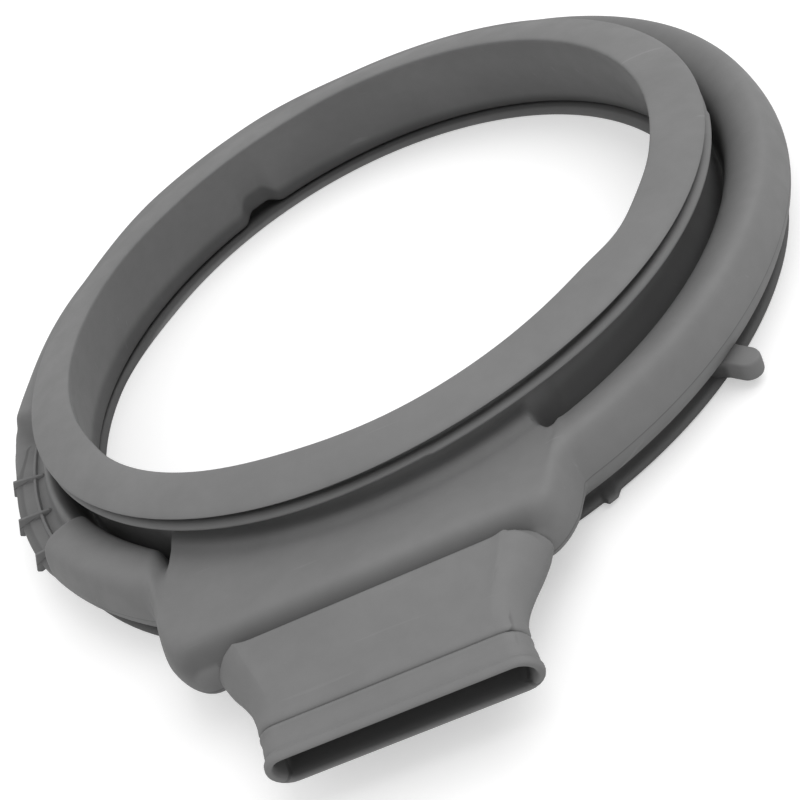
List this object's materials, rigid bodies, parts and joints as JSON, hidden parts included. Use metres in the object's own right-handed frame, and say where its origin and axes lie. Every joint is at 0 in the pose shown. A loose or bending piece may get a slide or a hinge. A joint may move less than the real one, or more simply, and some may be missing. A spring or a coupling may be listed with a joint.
{
  "type": "washing machine door seal",
  "caption": "Moulded rubber door seal for a front-loading washer-dryer: a bellows ring with lips at the front, a clamp groove at the rear and a flat air duct out of one side.",
  "frame": {"origin": "on the ring's axis, in the plane of the rear plate's flat rear face", "axes": "+Z along the ring's axis from the rear plate to the front lips, -Y towards the mouth of the air duct, +X towards the side with the handling nub"},
  "size_m": [0.3945, 0.4533, 0.0528],
  "materials": {
    "rubber": "satin grey rubber with a light bloom and small scuffs"
  },
  "bodies": {
    "root": {"door_seal": "rubber"}
  },
  "joints": []
}
